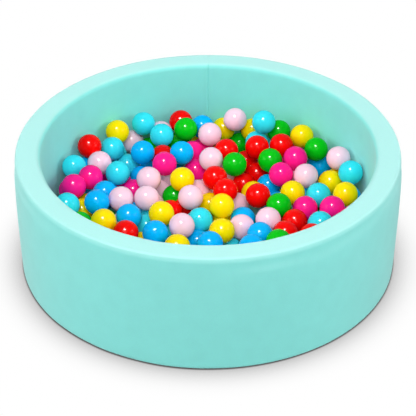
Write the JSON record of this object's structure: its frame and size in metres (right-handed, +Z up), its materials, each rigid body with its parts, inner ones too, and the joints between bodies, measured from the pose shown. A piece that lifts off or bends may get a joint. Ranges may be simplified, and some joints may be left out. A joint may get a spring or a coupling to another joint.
{
  "type": "ball pit",
  "caption": "Round foam play pit in a zipped plush cover, filled with hollow plastic balls in seven colours that can be lifted out.",
  "frame": {"origin": "middle of the underside, on the floor", "axes": "+Z up; +Y towards the back, where the cover's seam is; the picture looks along +Y"},
  "size_m": [0.9, 0.9, 0.3],
  "materials": {
    "mint_cloth": "soft short-pile cloth",
    "under_cloth": "plain woven cloth",
    "foam": "open-cell foam",
    "zip_tape": "woven tape",
    "zip_teeth": "satin nylon",
    "zip_metal": "satin",
    "bed_balls": "smooth, in seven colours",
    "red_ball": "smooth",
    "green_ball": "smooth",
    "yellow_ball": "smooth",
    "blue_ball": "smooth",
    "cyan_ball": "smooth",
    "pink_ball": "smooth",
    "rose_ball": "smooth"
  },
  "bodies": {
    "pit": {"wall_cover": "mint_cloth", "wall_foam": "foam", "base_foam": "foam", "floor_cover": "mint_cloth", "bottom_panel": "under_cloth", "zip_tape_outer": "zip_tape", "zip_tape_inner": "zip_tape", "zip_teeth_outer": "zip_teeth", "zip_teeth_inner": "zip_teeth", "zip_stop_start": "zip_teeth", "zip_stop_end": "zip_teeth", "ball_bed": "bed_balls"},
    "zip_slider": {"zip_slider": "zip_metal"},
    "zip_pull": {"zip_pull": "zip_metal"},
    "ball_blue_01": {"ball_blue_01": "blue_ball"},
    "ball_blue_02": {"ball_blue_02": "blue_ball"},
    "ball_blue_03": {"ball_blue_03": "blue_ball"},
    "ball_blue_04": {"ball_blue_04": "blue_ball"},
    "ball_blue_05": {"ball_blue_05": "blue_ball"},
    "ball_blue_06": {"ball_blue_06": "blue_ball"},
    "ball_blue_07": {"ball_blue_07": "blue_ball"},
    "ball_cyan_01": {"ball_cyan_01": "cyan_ball"},
    "ball_cyan_02": {"ball_cyan_02": "cyan_ball"},
    "ball_cyan_03": {"ball_cyan_03": "cyan_ball"},
    "ball_cyan_04": {"ball_cyan_04": "cyan_ball"},
    "ball_cyan_05": {"ball_cyan_05": "cyan_ball"},
    "ball_green_01": {"ball_green_01": "green_ball"},
    "ball_green_02": {"ball_green_02": "green_ball"},
    "ball_green_03": {"ball_green_03": "green_ball"},
    "ball_green_04": {"ball_green_04": "green_ball"},
    "ball_pink_01": {"ball_pink_01": "pink_ball"},
    "ball_pink_02": {"ball_pink_02": "pink_ball"},
    "ball_pink_03": {"ball_pink_03": "pink_ball"},
    "ball_pink_04": {"ball_pink_04": "pink_ball"},
    "ball_pink_05": {"ball_pink_05": "pink_ball"},
    "ball_pink_06": {"ball_pink_06": "pink_ball"},
    "ball_red_01": {"ball_red_01": "red_ball"},
    "ball_red_02": {"ball_red_02": "red_ball"},
    "ball_red_03": {"ball_red_03": "red_ball"},
    "ball_red_04": {"ball_red_04": "red_ball"},
    "ball_red_05": {"ball_red_05": "red_ball"},
    "ball_red_06": {"ball_red_06": "red_ball"},
    "ball_red_07": {"ball_red_07": "red_ball"},
    "ball_red_08": {"ball_red_08": "red_ball"},
    "ball_rose_01": {"ball_rose_01": "rose_ball"},
    "ball_rose_02": {"ball_rose_02": "rose_ball"},
    "ball_rose_03": {"ball_rose_03": "rose_ball"},
    "ball_rose_04": {"ball_rose_04": "rose_ball"},
    "ball_rose_05": {"ball_rose_05": "rose_ball"},
    "ball_rose_06": {"ball_rose_06": "rose_ball"},
    "ball_rose_07": {"ball_rose_07": "rose_ball"},
    "ball_rose_08": {"ball_rose_08": "rose_ball"},
    "ball_rose_09": {"ball_rose_09": "rose_ball"},
    "ball_yellow_01": {"ball_yellow_01": "yellow_ball"},
    "ball_yellow_02": {"ball_yellow_02": "yellow_ball"},
    "ball_yellow_03": {"ball_yellow_03": "yellow_ball"},
    "ball_yellow_04": {"ball_yellow_04": "yellow_ball"},
    "ball_yellow_05": {"ball_yellow_05": "yellow_ball"},
    "ball_yellow_06": {"ball_yellow_06": "yellow_ball"},
    "ball_yellow_07": {"ball_yellow_07": "yellow_ball"}
  },
  "joints": [
    {"name": "zip_run", "type": "hinge", "parent": "pit", "child": "zip_slider", "pos_m": [0, 0, 0], "axis": [0, 0, 1], "range_deg": [0, 238.15]},
    {"name": "pull_swing", "type": "hinge", "parent": "zip_slider", "child": "zip_pull", "pos_m": [0.34903, -0.19539, 0.00399], "axis": [-0.8738, 0.4863, 0], "range_deg": [0, 180]},
    {"name": "lift_ball_blue_01", "type": "slide", "parent": "pit", "child": "ball_blue_01", "axis": [0, 0, 1], "range_m": [0, 0.2]},
    {"name": "lift_ball_blue_02", "type": "slide", "parent": "pit", "child": "ball_blue_02", "axis": [0, 0, 1], "range_m": [0, 0.2]},
    {"name": "lift_ball_blue_03", "type": "slide", "parent": "pit", "child": "ball_blue_03", "axis": [0, 0, 1], "range_m": [0, 0.2]},
    {"name": "lift_ball_blue_04", "type": "slide", "parent": "pit", "child": "ball_blue_04", "axis": [0, 0, 1], "range_m": [0, 0.2]},
    {"name": "lift_ball_blue_05", "type": "slide", "parent": "pit", "child": "ball_blue_05", "axis": [0, 0, 1], "range_m": [0, 0.2]},
    {"name": "lift_ball_blue_06", "type": "slide", "parent": "pit", "child": "ball_blue_06", "axis": [0, 0, 1], "range_m": [0, 0.2]},
    {"name": "lift_ball_blue_07", "type": "slide", "parent": "pit", "child": "ball_blue_07", "axis": [0, 0, 1], "range_m": [0, 0.2]},
    {"name": "lift_ball_cyan_01", "type": "slide", "parent": "pit", "child": "ball_cyan_01", "axis": [0, 0, 1], "range_m": [0, 0.2]},
    {"name": "lift_ball_cyan_02", "type": "slide", "parent": "pit", "child": "ball_cyan_02", "axis": [0, 0, 1], "range_m": [0, 0.2]},
    {"name": "lift_ball_cyan_03", "type": "slide", "parent": "pit", "child": "ball_cyan_03", "axis": [0, 0, 1], "range_m": [0, 0.2]},
    {"name": "lift_ball_cyan_04", "type": "slide", "parent": "pit", "child": "ball_cyan_04", "axis": [0, 0, 1], "range_m": [0, 0.2]},
    {"name": "lift_ball_cyan_05", "type": "slide", "parent": "pit", "child": "ball_cyan_05", "axis": [0, 0, 1], "range_m": [0, 0.2]},
    {"name": "lift_ball_green_01", "type": "slide", "parent": "pit", "child": "ball_green_01", "axis": [0, 0, 1], "range_m": [0, 0.2]},
    {"name": "lift_ball_green_02", "type": "slide", "parent": "pit", "child": "ball_green_02", "axis": [0, 0, 1], "range_m": [0, 0.2]},
    {"name": "lift_ball_green_03", "type": "slide", "parent": "pit", "child": "ball_green_03", "axis": [0, 0, 1], "range_m": [0, 0.2]},
    {"name": "lift_ball_green_04", "type": "slide", "parent": "pit", "child": "ball_green_04", "axis": [0, 0, 1], "range_m": [0, 0.2]},
    {"name": "lift_ball_pink_01", "type": "slide", "parent": "pit", "child": "ball_pink_01", "axis": [0, 0, 1], "range_m": [0, 0.2]},
    {"name": "lift_ball_pink_02", "type": "slide", "parent": "pit", "child": "ball_pink_02", "axis": [0, 0, 1], "range_m": [0, 0.2]},
    {"name": "lift_ball_pink_03", "type": "slide", "parent": "pit", "child": "ball_pink_03", "axis": [0, 0, 1], "range_m": [0, 0.2]},
    {"name": "lift_ball_pink_04", "type": "slide", "parent": "pit", "child": "ball_pink_04", "axis": [0, 0, 1], "range_m": [0, 0.2]},
    {"name": "lift_ball_pink_05", "type": "slide", "parent": "pit", "child": "ball_pink_05", "axis": [0, 0, 1], "range_m": [0, 0.2]},
    {"name": "lift_ball_pink_06", "type": "slide", "parent": "pit", "child": "ball_pink_06", "axis": [0, 0, 1], "range_m": [0, 0.2]},
    {"name": "lift_ball_red_01", "type": "slide", "parent": "pit", "child": "ball_red_01", "axis": [0, 0, 1], "range_m": [0, 0.2]},
    {"name": "lift_ball_red_02", "type": "slide", "parent": "pit", "child": "ball_red_02", "axis": [0, 0, 1], "range_m": [0, 0.2]},
    {"name": "lift_ball_red_03", "type": "slide", "parent": "pit", "child": "ball_red_03", "axis": [0, 0, 1], "range_m": [0, 0.2]},
    {"name": "lift_ball_red_04", "type": "slide", "parent": "pit", "child": "ball_red_04", "axis": [0, 0, 1], "range_m": [0, 0.2]},
    {"name": "lift_ball_red_05", "type": "slide", "parent": "pit", "child": "ball_red_05", "axis": [0, 0, 1], "range_m": [0, 0.2]},
    {"name": "lift_ball_red_06", "type": "slide", "parent": "pit", "child": "ball_red_06", "axis": [0, 0, 1], "range_m": [0, 0.2]},
    {"name": "lift_ball_red_07", "type": "slide", "parent": "pit", "child": "ball_red_07", "axis": [0, 0, 1], "range_m": [0, 0.2]},
    {"name": "lift_ball_red_08", "type": "slide", "parent": "pit", "child": "ball_red_08", "axis": [0, 0, 1], "range_m": [0, 0.2]},
    {"name": "lift_ball_rose_01", "type": "slide", "parent": "pit", "child": "ball_rose_01", "axis": [0, 0, 1], "range_m": [0, 0.2]},
    {"name": "lift_ball_rose_02", "type": "slide", "parent": "pit", "child": "ball_rose_02", "axis": [0, 0, 1], "range_m": [0, 0.2]},
    {"name": "lift_ball_rose_03", "type": "slide", "parent": "pit", "child": "ball_rose_03", "axis": [0, 0, 1], "range_m": [0, 0.2]},
    {"name": "lift_ball_rose_04", "type": "slide", "parent": "pit", "child": "ball_rose_04", "axis": [0, 0, 1], "range_m": [0, 0.2]},
    {"name": "lift_ball_rose_05", "type": "slide", "parent": "pit", "child": "ball_rose_05", "axis": [0, 0, 1], "range_m": [0, 0.2]},
    {"name": "lift_ball_rose_06", "type": "slide", "parent": "pit", "child": "ball_rose_06", "axis": [0, 0, 1], "range_m": [0, 0.2]},
    {"name": "lift_ball_rose_07", "type": "slide", "parent": "pit", "child": "ball_rose_07", "axis": [0, 0, 1], "range_m": [0, 0.2]},
    {"name": "lift_ball_rose_08", "type": "slide", "parent": "pit", "child": "ball_rose_08", "axis": [0, 0, 1], "range_m": [0, 0.2]},
    {"name": "lift_ball_rose_09", "type": "slide", "parent": "pit", "child": "ball_rose_09", "axis": [0, 0, 1], "range_m": [0, 0.2]},
    {"name": "lift_ball_yellow_01", "type": "slide", "parent": "pit", "child": "ball_yellow_01", "axis": [0, 0, 1], "range_m": [0, 0.2]},
    {"name": "lift_ball_yellow_02", "type": "slide", "parent": "pit", "child": "ball_yellow_02", "axis": [0, 0, 1], "range_m": [0, 0.2]},
    {"name": "lift_ball_yellow_03", "type": "slide", "parent": "pit", "child": "ball_yellow_03", "axis": [0, 0, 1], "range_m": [0, 0.2]},
    {"name": "lift_ball_yellow_04", "type": "slide", "parent": "pit", "child": "ball_yellow_04", "axis": [0, 0, 1], "range_m": [0, 0.2]},
    {"name": "lift_ball_yellow_05", "type": "slide", "parent": "pit", "child": "ball_yellow_05", "axis": [0, 0, 1], "range_m": [0, 0.2]},
    {"name": "lift_ball_yellow_06", "type": "slide", "parent": "pit", "child": "ball_yellow_06", "axis": [0, 0, 1], "range_m": [0, 0.2]},
    {"name": "lift_ball_yellow_07", "type": "slide", "parent": "pit", "child": "ball_yellow_07", "axis": [0, 0, 1], "range_m": [0, 0.2]}
  ]
}
